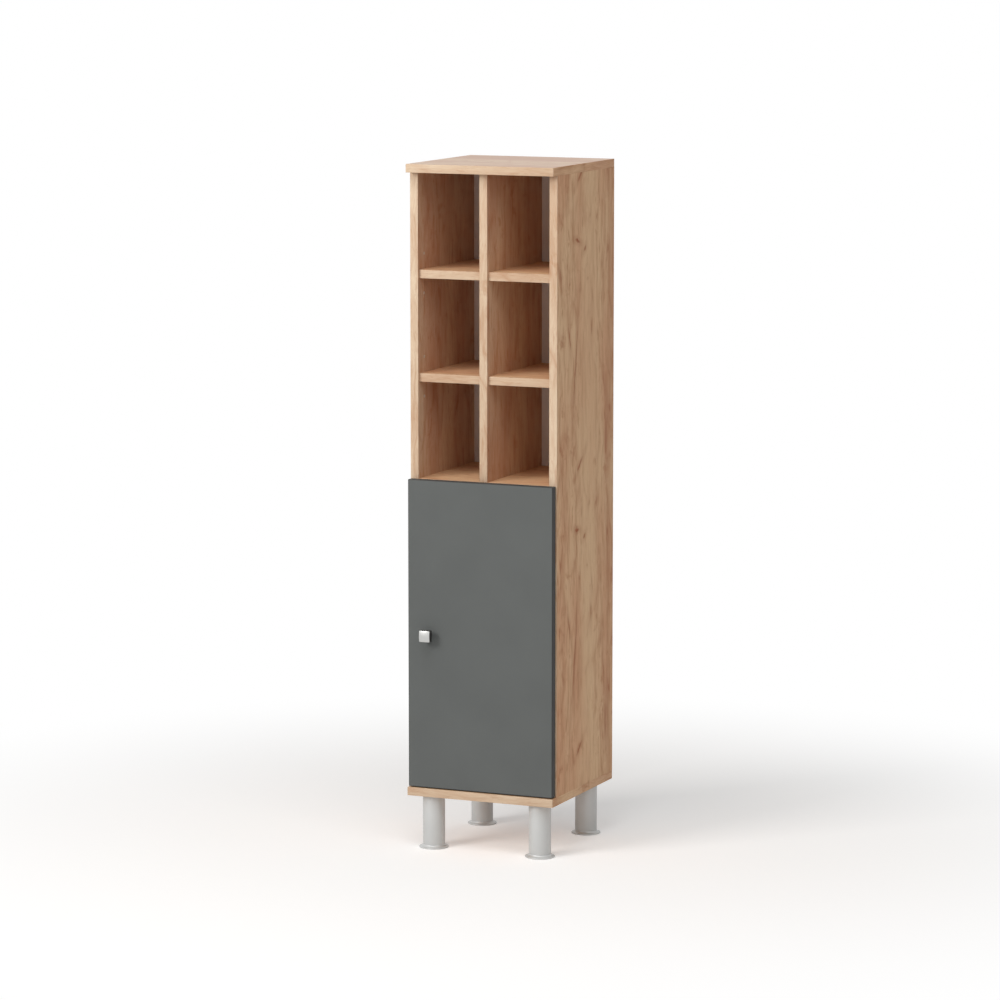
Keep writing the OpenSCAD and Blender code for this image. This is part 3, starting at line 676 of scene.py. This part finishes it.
class CABINET_OT_oak_boards(bpy.types.Operator):
    """Give the case boards, the divider and the shelves their oak print"""

    bl_idname = "cabinet.oak_boards"
    bl_label = "Oak boards"

    def execute(self, context):
        look = context.scene.cabinet_boards
        tones = (look.oak_light, look.oak_body, look.oak_dark)
        niche = (look.niche_light, look.niche_body, look.oak_dark)
        right = oak_material(
            "oak_right_side", tones, offset=(0.3, 0.62, 0.1), figure=1.3, knots=0.0,
            marks=right_side_marks(look),
        )
        paint(right, "right_side_panel")
        paint(oak_material("oak_left_side", niche, offset=(1.7, 0.2, 0.9), figure=0.85), "left_side_panel")
        paint(oak_material("oak_divider", niche, offset=(2.9, 1.3, 0.4), figure=0.85), "niche_divider")
        lying = (
            ("oak_top", niche, (0.4, 3.1, 0.2), 0.45, ("top_panel",)),
            ("oak_bottom", tones, (1.4, 2.2, 0.7), 0.0, ("bottom_panel",)),
            ("oak_deck", tones, (2.3, 0.6, 1.9), 0.0, ("deck_panel", "inner_shelf")),
            ("oak_left_shelves", tones, (3.3, 1.6, 0.9), 0.0, ("upper_left_shelf", "lower_left_shelf")),
            ("oak_right_shelves", tones, (4.3, 2.6, 1.4), 0.0, ("upper_right_shelf", "lower_right_shelf")),
        )
        for name, colours, offset, coat, nodes in lying:
            material = oak_material(
                name, colours, turn=GRAIN_ACROSS, offset=offset, figure=0.75, knots=0.5, specular=0.3,
                coat=coat,
            )
            paint(material, *nodes)
        pale = plain_material(
            "pale_back_sheet", look.back_pale, roughness=0.7, texture=700, drift=0.03, raised=0.08
        )
        paint(pale, "back_sheet_panel")
        return {"FINISHED"}


class CABINET_OT_oak_edging(bpy.types.Operator):
    """Build the rounded oak edging on every visible board edge"""

    bl_idname = "cabinet.oak_edging"
    bl_label = "Oak edging"

    def execute(self, context):
        look = context.scene.cabinet_boards
        tones = (look.edging_light, look.edging_body, look.edging_dark)
        boards = (look.oak_light, look.oak_body, look.oak_dark)
        upright = oak_material("edging_upright", tones, offset=(0.5, 0.3, 2.2), figure=0.8, knots=0.0)
        across = oak_material(
            "edging_across", tones, turn=GRAIN_ACROSS, offset=(5.5, 0.9, 1.2), figure=0.6, knots=0.0
        )
        inward = oak_material(
            "edging_inward", boards, turn=GRAIN_INWARD, offset=(2.5, 4.3, 1.2), figure=1.0, knots=0.0
        )
        around = [FRONT, LEFT, RIGHT]
        bands = (("_edge_band", [FRONT], across), ("_end_bands", [LEFT, RIGHT], inward))
        for board in ("top_panel", "bottom_panel"):
            edging = board + "_edging"
            for name, kept, material in bands:
                bm = bmesh.new()
                board_edging(bm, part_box(board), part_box(edging), around, look.edge_round, kept)
                finish_piece(bm, board + name, "case", "oak_edging", material, edging)
        shelves = (
            "upper_left_shelf", "upper_right_shelf", "lower_left_shelf", "lower_right_shelf", "inner_shelf"
        )
        fronts = (
            ("side_edge_bands", "side_panel_edging", ("left_side_panel", "right_side_panel"), upright),
            ("divider_edge_band", "divider_edging", ("niche_divider",), upright),
            ("deck_edge_band", "deck_edging", ("deck_panel",), across),
            ("shelf_edge_bands", "shelf_edging", shelves, across),
        )
        for name, edging, edged_boards, material in fronts:
            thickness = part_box(edged_boards[0])[0].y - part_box(edging)[0].y
            bm = bmesh.new()
            for board in edged_boards:
                low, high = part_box(board)
                outside = (low - Vector((0, thickness, 0)), high)
                board_edging(bm, (low, high), outside, [FRONT], look.edge_round)
            finish_piece(bm, name, "case", "oak_edging", material, edging)
        return {"FINISHED"}


class CABINET_OT_door(bpy.types.Operator):
    """Finish the grey door leaf and build its rounded edging and soft bumpers"""

    bl_idname = "cabinet.door"
    bl_label = "Door"

    def execute(self, context):
        look = context.scene.cabinet_boards
        leaf = plain_material(
            "door_grey_face", look.door_grey, roughness=0.62, texture=1400, drift=0.03, raised=0.12,
            specular=0.15,
        )
        paint(leaf, "door_panel")
        # The edging takes the darker grey, painted as shade on the door's edges.
        band = plain_material(
            "door_grey_edge", look.door_edge_shade_grey, roughness=0.6, texture=1400, drift=0.03, raised=0.08,
            specular=0.1,
        )
        bm = bmesh.new()
        edged = [BOTTOM, TOP, LEFT, RIGHT]
        board_edging(bm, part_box("door_panel"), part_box("door_edging"), edged, look.edge_round)
        finish_piece(bm, "door_edge_band", "door", "grey_edging", band, "door_edging")
        low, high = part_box("door_bumpers")
        radius = (high.x - low.x) / 2
        depth = high.y - low.y
        soft = 0.4 * depth
        profile = [(0, 0), (radius, 0), *arc((radius - soft, depth - soft), soft, 0, 90, 4), (0, depth)]
        bm = bmesh.new()
        for z in (low.z + radius, high.z - radius):
            spun(bm, profile, (low.x + radius, low.y, z), REARWARD, steps=32)
        pad = plain_material("clear_bumper_pad", CLEAR_RUBBER, roughness=0.35, texture=500, drift=0.03)
        finish_piece(bm, "bumper_pads", "door", "soft_bumper", pad, "door_bumpers")
        return {"FINISHED"}


def knob_head(bm, low, high, look):
    """The knob's square head: a block with round corners, a crowned face and softened edges."""
    centre = (low + high) / 2
    back_y = low.y + look.knob_head
    add_block(bm, low, (high.x, back_y, high.z))
    uprights = [e for e in bm.edges if abs(e.verts[0].co.y - e.verts[1].co.y) > look.knob_head / 2]
    round_edges(bm, uprights, look.knob_corner, segments=8)
    face = min(bm.faces, key=lambda f: f.calc_center_median().y)
    straight = [e for e in face.edges if e.calc_length() > (high.x - low.x) / 2]
    cuts = 9
    rings = 7
    bmesh.ops.bisect_edges(bm, edges=straight, cuts=cuts, edge_percents={})
    about = Matrix.Translation(-Vector((centre.x, low.y, centre.z)))
    for ring in range(rings, 0, -1):
        bmesh.ops.inset_region(bm, faces=[face], thickness=0, depth=0, use_even_offset=False)
        share = ring / (ring + 1)
        bmesh.ops.scale(bm, vec=(share, 1, share), space=about, verts=face.verts[:])
    front = {v for v in bm.verts if v.co.y < low.y + ONE_POINT}
    back = {v for v in bm.verts if abs(v.co.y - back_y) < ONE_POINT}
    for v in front:
        reach = math.hypot(v.co.x - centre.x, v.co.z - centre.z)
        v.co.y = low.y + look.knob_crown - math.sqrt(look.knob_crown**2 - reach**2)
    bm.normal_update()
    sharp_from = math.radians(50)
    sharp = [e for e in bm.edges if e.calc_face_angle(0) > sharp_from]
    rims = [e for side in (front, back) for e in sharp if set(e.verts) <= side]
    round_edges(bm, rims, look.knob_edge, segments=4)


def knob_neck_profile(length, neck):
    """The knob's neck: a fillet at the head, a hollow above the foot, and the foot against the door."""
    fillet = 1.5 * MM
    hollow = 0.8 * MM
    foot = neck + hollow
    foot_top = length - 1.5 * MM
    ease = 0.3 * MM
    return [
        (0, length), (foot - ease, length), (foot, length - ease),
        *arc((foot, foot_top - hollow), hollow, 90, 180, 5),
        *arc((neck + fillet, fillet), fillet, 180, 270, 5), (0, 0),
    ]


class CABINET_OT_knob(bpy.types.Operator):
    """Build the square knob with its crowned face, round neck and foot"""

    bl_idname = "cabinet.knob"
    bl_label = "Knob"

    def execute(self, context):
        look = context.scene.cabinet_metal
        low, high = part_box("knob")
        bm = bmesh.new()
        knob_head(bm, low, high, look)
        back_y = low.y + look.knob_head
        centre = ((low.x + high.x) / 2, back_y, (low.z + high.z) / 2)
        spun(bm, knob_neck_profile(high.y - back_y, look.knob_neck), centre, REARWARD, steps=64)
        # The knob's sides and neck are painted darker than its face, as shade.
        polish = plain_material(
            "satin_knob_metal", look.knob_bright, roughness=0.36, texture=2600, drift=0.015, raised=0.03,
            metallic=1.0, sides=look.knob_side_shade,
        )
        finish_piece(bm, "square_knob", "door", "satin_chrome", polish, "knob", smooth=30)
        paint(zinc_material("knob_screw_zinc", look), "knob_screw")
        return {"FINISHED"}


class CABINET_OT_hinges(bpy.types.Operator):
    """Give the hinge pieces their plated finishes"""

    bl_idname = "cabinet.hinges"
    bl_label = "Hinges"

    def execute(self, context):
        look = context.scene.cabinet_metal
        pressed = plain_material(
            "nickel_pressed", look.nickel, roughness=0.42, texture=1500, drift=0.05, raised=0.08,
            metallic=1.0,
        )
        worked = plain_material(
            "nickel_links", look.nickel, roughness=0.38, texture=2200, drift=0.07, metallic=1.0
        )
        screws = zinc_material("hinge_screw_zinc", look, roughness=0.34, drift=0.06)
        for level in ("upper", "lower"):
            paint(pressed, level + "_hinge_cup", level + "_hinge_arm", level + "_mounting_plate")
        paint(worked, "hinge_front_links", "hinge_rear_links", "hinge_long_bars", "hinge_short_bars")
        paint(screws, "hinge_arm_pins", "hinge_front_link_pins", "hinge_rear_link_pins", "hinge_cup_pins")
        paint(screws, "hinge_cup_screws", "mounting_plate_screws", "hinge_arm_screws")
        return {"FINISHED"}


class CABINET_OT_shelf_fittings(bpy.types.Operator):
    """Build the caps of the spare pin holes and finish the shelf pins and supports"""

    bl_idname = "cabinet.shelf_fittings"
    bl_label = "Shelf fittings"

    def execute(self, context):
        metal = context.scene.cabinet_metal
        supports = plain_material(
            "support_nickel", metal.nickel, roughness=0.32, texture=1500, drift=0.05, metallic=1.0
        )
        paint(supports, "inner_shelf_supports")
        paint(zinc_material("shelf_pin_zinc", metal), "niche_shelf_pins")
        low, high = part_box("hole_plugs")
        wall_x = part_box("right_side_panel")[0].x
        levels = []
        for shelf in ("lower_right_shelf", "upper_right_shelf"):
            shelf_low, shelf_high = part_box(shelf)
            levels.append((shelf_low.z + shelf_high.z) / 2)
        radius = 3 * MM
        head = 0.6 * MM
        rim = 0.15 * MM
        crown = head - rim
        dome = (radius**2 + crown**2) / (2 * crown)
        rim_angle = math.degrees(math.acos(radius / dome))
        profile = [(0, 0), (radius, 0), *arc((0, head - dome), dome, rim_angle, 90, 6)]
        rise = high.z - radius - levels[-1]
        bm = bmesh.new()
        for level in levels:
            for side in (-1, 1):
                for z in (level - rise, level + rise):
                    spun(bm, profile, (side * wall_x, (low.y + high.y) / 2, z), (-side, 0, 0), steps=24)
        pale = context.scene.cabinet_boards.plug_pale
        cap = plain_material("pale_cap", pale, roughness=0.5, texture=900, drift=0.04)
        finish_piece(bm, "spare_hole_caps", "case", "pale_plug", cap, "hole_plugs")
        return {"FINISHED"}


def tube_profile(radius, height):
    """A leg tube's wall, with its outer edges softened."""
    wall = 1.5 * MM
    soft = 0.35 * MM
    return [
        *arc((radius - soft, soft), soft, -90, 0, 3), *arc((radius - soft, height - soft), soft, 0, 90, 3),
        (radius - wall, height), (radius - wall, 0),
    ]


def foot_profile(rim, radius, shoulder, length):
    """A levelling foot: a low rounded rim, a flare to the tube's radius at the shoulder, and the stem."""
    rim_height = 2.5 * MM
    sole = 0.8 * MM
    rim_round = 0.5 * MM
    stem = 5 * MM
    ease = 0.8 * MM
    steps = 14
    flare = [
        (rim - (rim - radius) * math.sin(t), rim_height + (shoulder - rim_height) * (1 - math.cos(t)))
        for t in (math.pi / 2 * i / steps for i in range(1, steps + 1))
    ]
    return [
        (0, 0), (rim - sole, 0), *arc((rim - sole, sole), sole, -60, 0, 3),
        *arc((rim - rim_round, rim_height - rim_round), rim_round, 0, 70, 3), *flare,
        (stem, shoulder), (stem, length - ease), (stem - ease, length), (0, length),
    ]


class CABINET_OT_legs(bpy.types.Operator):
    """Build the round leg tubes and the flared levelling feet"""

    bl_idname = "cabinet.legs"
    bl_label = "Legs and feet"

    def execute(self, context):
        look = context.scene.cabinet_metal
        silver = plain_material(
            "leg_silver_paint", look.leg_silver, roughness=0.42, texture=1700, drift=0.03, raised=0.06,
            metallic=0.25, specular=0.45,
        )
        flange = plain_material(
            "foot_silver", look.leg_silver, roughness=0.42, texture=1700, drift=0.03, raised=0.04,
            metallic=0.25,
        )
        for place in ("front_left", "front_right", "rear_left", "rear_right"):
            low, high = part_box(place + "_leg_tube")
            radius = (high.x - low.x) / 2
            centre = (low + high) / 2
            bm = bmesh.new()
            profile = tube_profile(radius, high.z - low.z)
            spun(bm, profile, (centre.x, centre.y, low.z), UPWARD, steps=96, closed=True)
            finish_piece(bm, place + "_tube", "case", "silver_paint", silver, place + "_leg_tube")
            foot = place + "_foot"
            foot_low, foot_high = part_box(foot)
            rim = (foot_high.x - foot_low.x) / 2
            bm = bmesh.new()
            profile = foot_profile(rim, radius, low.z - foot_low.z, foot_high.z - foot_low.z)
            spun(bm, profile, (centre.x, centre.y, foot_low.z), UPWARD, steps=96)
            finish_piece(bm, place + "_flared_foot", foot, "silver_paint", flange, foot)
        bush = plain_material("leg_bush_black", BLACK_PLASTIC, roughness=0.55, texture=1200, drift=0.1)
        paint(bush, "leg_top_bushes", "foot_bushes")
        paint(zinc_material("leg_stud_zinc", look), "leg_studs")
        brass = plain_material(
            "sleeve_brass", BRASS, roughness=0.34, texture=1500, drift=0.06, metallic=1.0
        )
        paint(brass, "leg_sleeves")
        return {"FINISHED"}


class CABINET_OT_case_joints(bpy.types.Operator):
    """Finish the dowels and the case screws"""

    bl_idname = "cabinet.case_joints"
    bl_label = "Case joints"

    def execute(self, context):
        beech = oak_material("beech_dowel", BEECH, figure=0.2, knots=0.0)
        paint(beech, "top_dowels", "bottom_dowels", "deck_dowels", "divider_dowels")
        paint(zinc_material("case_screw_zinc", context.scene.cabinet_metal), "case_screws")
        return {"FINISHED"}


# Studio

# Name, place, width, the setting with its power, and colour. Each lamp looks at the cabinet's middle.
LAMPS = (
    ("key_lamp", (-2.8, -5.0, 3.2), 2.4, "key_power", (1.0, 0.985, 0.97)),
    ("fill_lamp", (3.3, -2.6, 3.3), 2.2, "fill_power", (1.0, 0.98, 0.96)),
    ("top_lamp", (0.3, -2.2, 4.0), 2.0, "top_power", WHITE),
)
LAMP_TARGET = Vector((0, 0, 0.7))
FLOOR_RADIUS = 14

# Distances from the origin between which the floor turns from its own colour to plain white.
FLOOR_FADE = (0.45, 1.6)


def white_where_seen(tree, at):
    """1 for rays that see the backdrop directly, in a reflection or through glass."""
    path = new_node(tree, "ShaderNodeLightPath", at).outputs
    seen = calculate(tree, "MAXIMUM", path["Is Camera Ray"], path["Is Glossy Ray"], (at[0] + 1, at[1]))
    return calculate(tree, "MAXIMUM", seen, path["Is Transmission Ray"], (at[0] + 2, at[1]))


def glow(tree, strength, at):
    """An even white glow."""
    return new_node(tree, "ShaderNodeEmission", at, {"Strength": strength}).outputs["Emission"]


def mixed(tree, share, first, second, at):
    """A shader between two others."""
    return new_node(tree, "ShaderNodeMixShader", at, {"Fac": share, 1: first, 2: second}).outputs["Shader"]


def floor_material(look):
    """A matt floor with a white glow where it is seen, which turns plain white away from the cabinet."""
    material = bpy.data.materials.new("studio_floor")
    tree = empty_tree(material)
    seen = white_where_seen(tree, (-3, -2))
    matt = new_node(tree, "ShaderNodeBsdfDiffuse", (2, 1), {"Color": look.floor_colour}).outputs["BSDF"]
    lift = mixed(tree, seen, glow(tree, 0, (2, -3)), glow(tree, look.floor_lift, (2, -1)), (3, -1))
    near = new_node(tree, "ShaderNodeAddShader", (4, 0), {0: matt, 1: lift}).outputs["Shader"]
    coordinates = new_node(tree, "ShaderNodeTexCoord", (-4, 0)).outputs["Object"]
    reach = calculate_vector(tree, "LENGTH", (coordinates,), (-3, 0), output="Value")
    share = times(tree, between(tree, reach, FLOOR_FADE, (-2, 0)), seen, (1, 0))
    surface = mixed(tree, share, near, glow(tree, 1, (2, -2)), (5, 0))
    new_node(tree, "ShaderNodeOutputMaterial", (6, 0), {"Surface": surface})
    return material


def build_floor(look):
    """The round studio floor."""
    bm = bmesh.new()
    bmesh.ops.create_circle(bm, cap_ends=True, segments=96, radius=FLOOR_RADIUS)
    mesh = bpy.data.meshes.new("studio_floor")
    bm.to_mesh(mesh)
    bm.free()
    mesh.materials.append(floor_material(look))
    floor = new_object("studio_floor", mesh)


def add_lamp(name, place, width, power, colour):
    """A large soft square lamp that looks at the cabinet's middle."""
    data = bpy.data.lights.new(name, "AREA")
    data.size = width
    data.energy = power
    data.color = colour
    lamp = new_object(name, data)
    lamp.location = place
    lamp.rotation_euler = (LAMP_TARGET - Vector(place)).to_track_quat("-Z", "Y").to_euler()


def build_surroundings(strength):
    """Even light from all round, which is plain white where it is seen."""
    world = bpy.data.worlds.new("studio_surroundings")
    bpy.context.scene.world = world
    tree = empty_tree(world)
    even = new_node(tree, "ShaderNodeBackground", (1, 1), {"Color": WHITE, "Strength": strength})
    white = new_node(tree, "ShaderNodeBackground", (1, -1), {"Color": WHITE, "Strength": 1})
    seen = white_where_seen(tree, (-2, 0))
    surface = mixed(tree, seen, even.outputs["Background"], white.outputs["Background"], (3, 0))
    new_node(tree, "ShaderNodeOutputWorld", (4, 0), {"Surface": surface})


def place_camera(look):
    """The camera where the photograph was taken from."""
    data = bpy.data.cameras.new("photo_camera")
    data.sensor_width = 36
    data.lens = look.camera_lens
    data.clip_end = 100
    camera = new_object("photo_camera", data)
    camera.location = look.camera_place
    camera.rotation_euler = (math.pi / 2 - look.camera_tilt, 0, look.camera_turn)
    bpy.context.scene.camera = camera


class CABINET_OT_studio(bpy.types.Operator):
    """Set up the floor, the lamps, the surroundings and the camera"""

    bl_idname = "cabinet.studio"
    bl_label = "Studio"

    def execute(self, context):
        look = context.scene.cabinet_stage
        build_floor(look)
        for name, place, width, power, colour in LAMPS:
            add_lamp(name, place, width, getattr(look, power), colour)
        build_surroundings(look.sky_strength)
        place_camera(look)
        context.scene.view_settings.view_transform = "Standard"
        return {"FINISHED"}


class CABINET_PT_panel(bpy.types.Panel):
    """The cabinet's pieces and settings"""

    bl_idname = "CABINET_PT_panel"
    bl_label = "Bathroom cabinet"
    bl_space_type = "VIEW_3D"
    bl_region_type = "UI"
    bl_category = "Cabinet"

    def draw(self, context):
        for group, _ in SETTINGS:
            settings = getattr(context.scene, group)
            box = self.layout.box()
            for name in settings.bl_rna.properties.keys():
                if name not in ("rna_type", "name"):
                    box.prop(settings, name)
        for operator in OPERATORS:
            self.layout.operator(operator.bl_idname)


SETTINGS = (
    ("cabinet_boards", CabinetBoardSettings),
    ("cabinet_metal", CabinetMetalSettings),
    ("cabinet_stage", CabinetStageSettings),
)
OPERATORS = (
    CABINET_OT_oak_boards,
    CABINET_OT_oak_edging,
    CABINET_OT_door,
    CABINET_OT_knob,
    CABINET_OT_hinges,
    CABINET_OT_shelf_fittings,
    CABINET_OT_legs,
    CABINET_OT_case_joints,
    CABINET_OT_studio,
)


def register():
    """Registers the settings, the operators and the panel."""
    for name, settings in SETTINGS:
        bpy.utils.register_class(settings)
        setattr(bpy.types.Scene, name, bpy.props.PointerProperty(type=settings))
    for operator in OPERATORS:
        bpy.utils.register_class(operator)
    bpy.utils.register_class(CABINET_PT_panel)


def unregister():
    """Takes back what register did, in the opposite order."""
    bpy.utils.unregister_class(CABINET_PT_panel)
    for operator in reversed(OPERATORS):
        bpy.utils.unregister_class(operator)
    for name, settings in reversed(SETTINGS):
        delattr(bpy.types.Scene, name)
        bpy.utils.unregister_class(settings)


def main():
    """Makes the whole scene."""
    register()
    bpy.ops.cabinet.oak_boards()
    bpy.ops.cabinet.oak_edging()
    bpy.ops.cabinet.door()
    bpy.ops.cabinet.knob()
    bpy.ops.cabinet.hinges()
    bpy.ops.cabinet.shelf_fittings()
    bpy.ops.cabinet.legs()
    bpy.ops.cabinet.case_joints()
    bpy.ops.cabinet.studio()


if __name__ == "__main__":
    main()
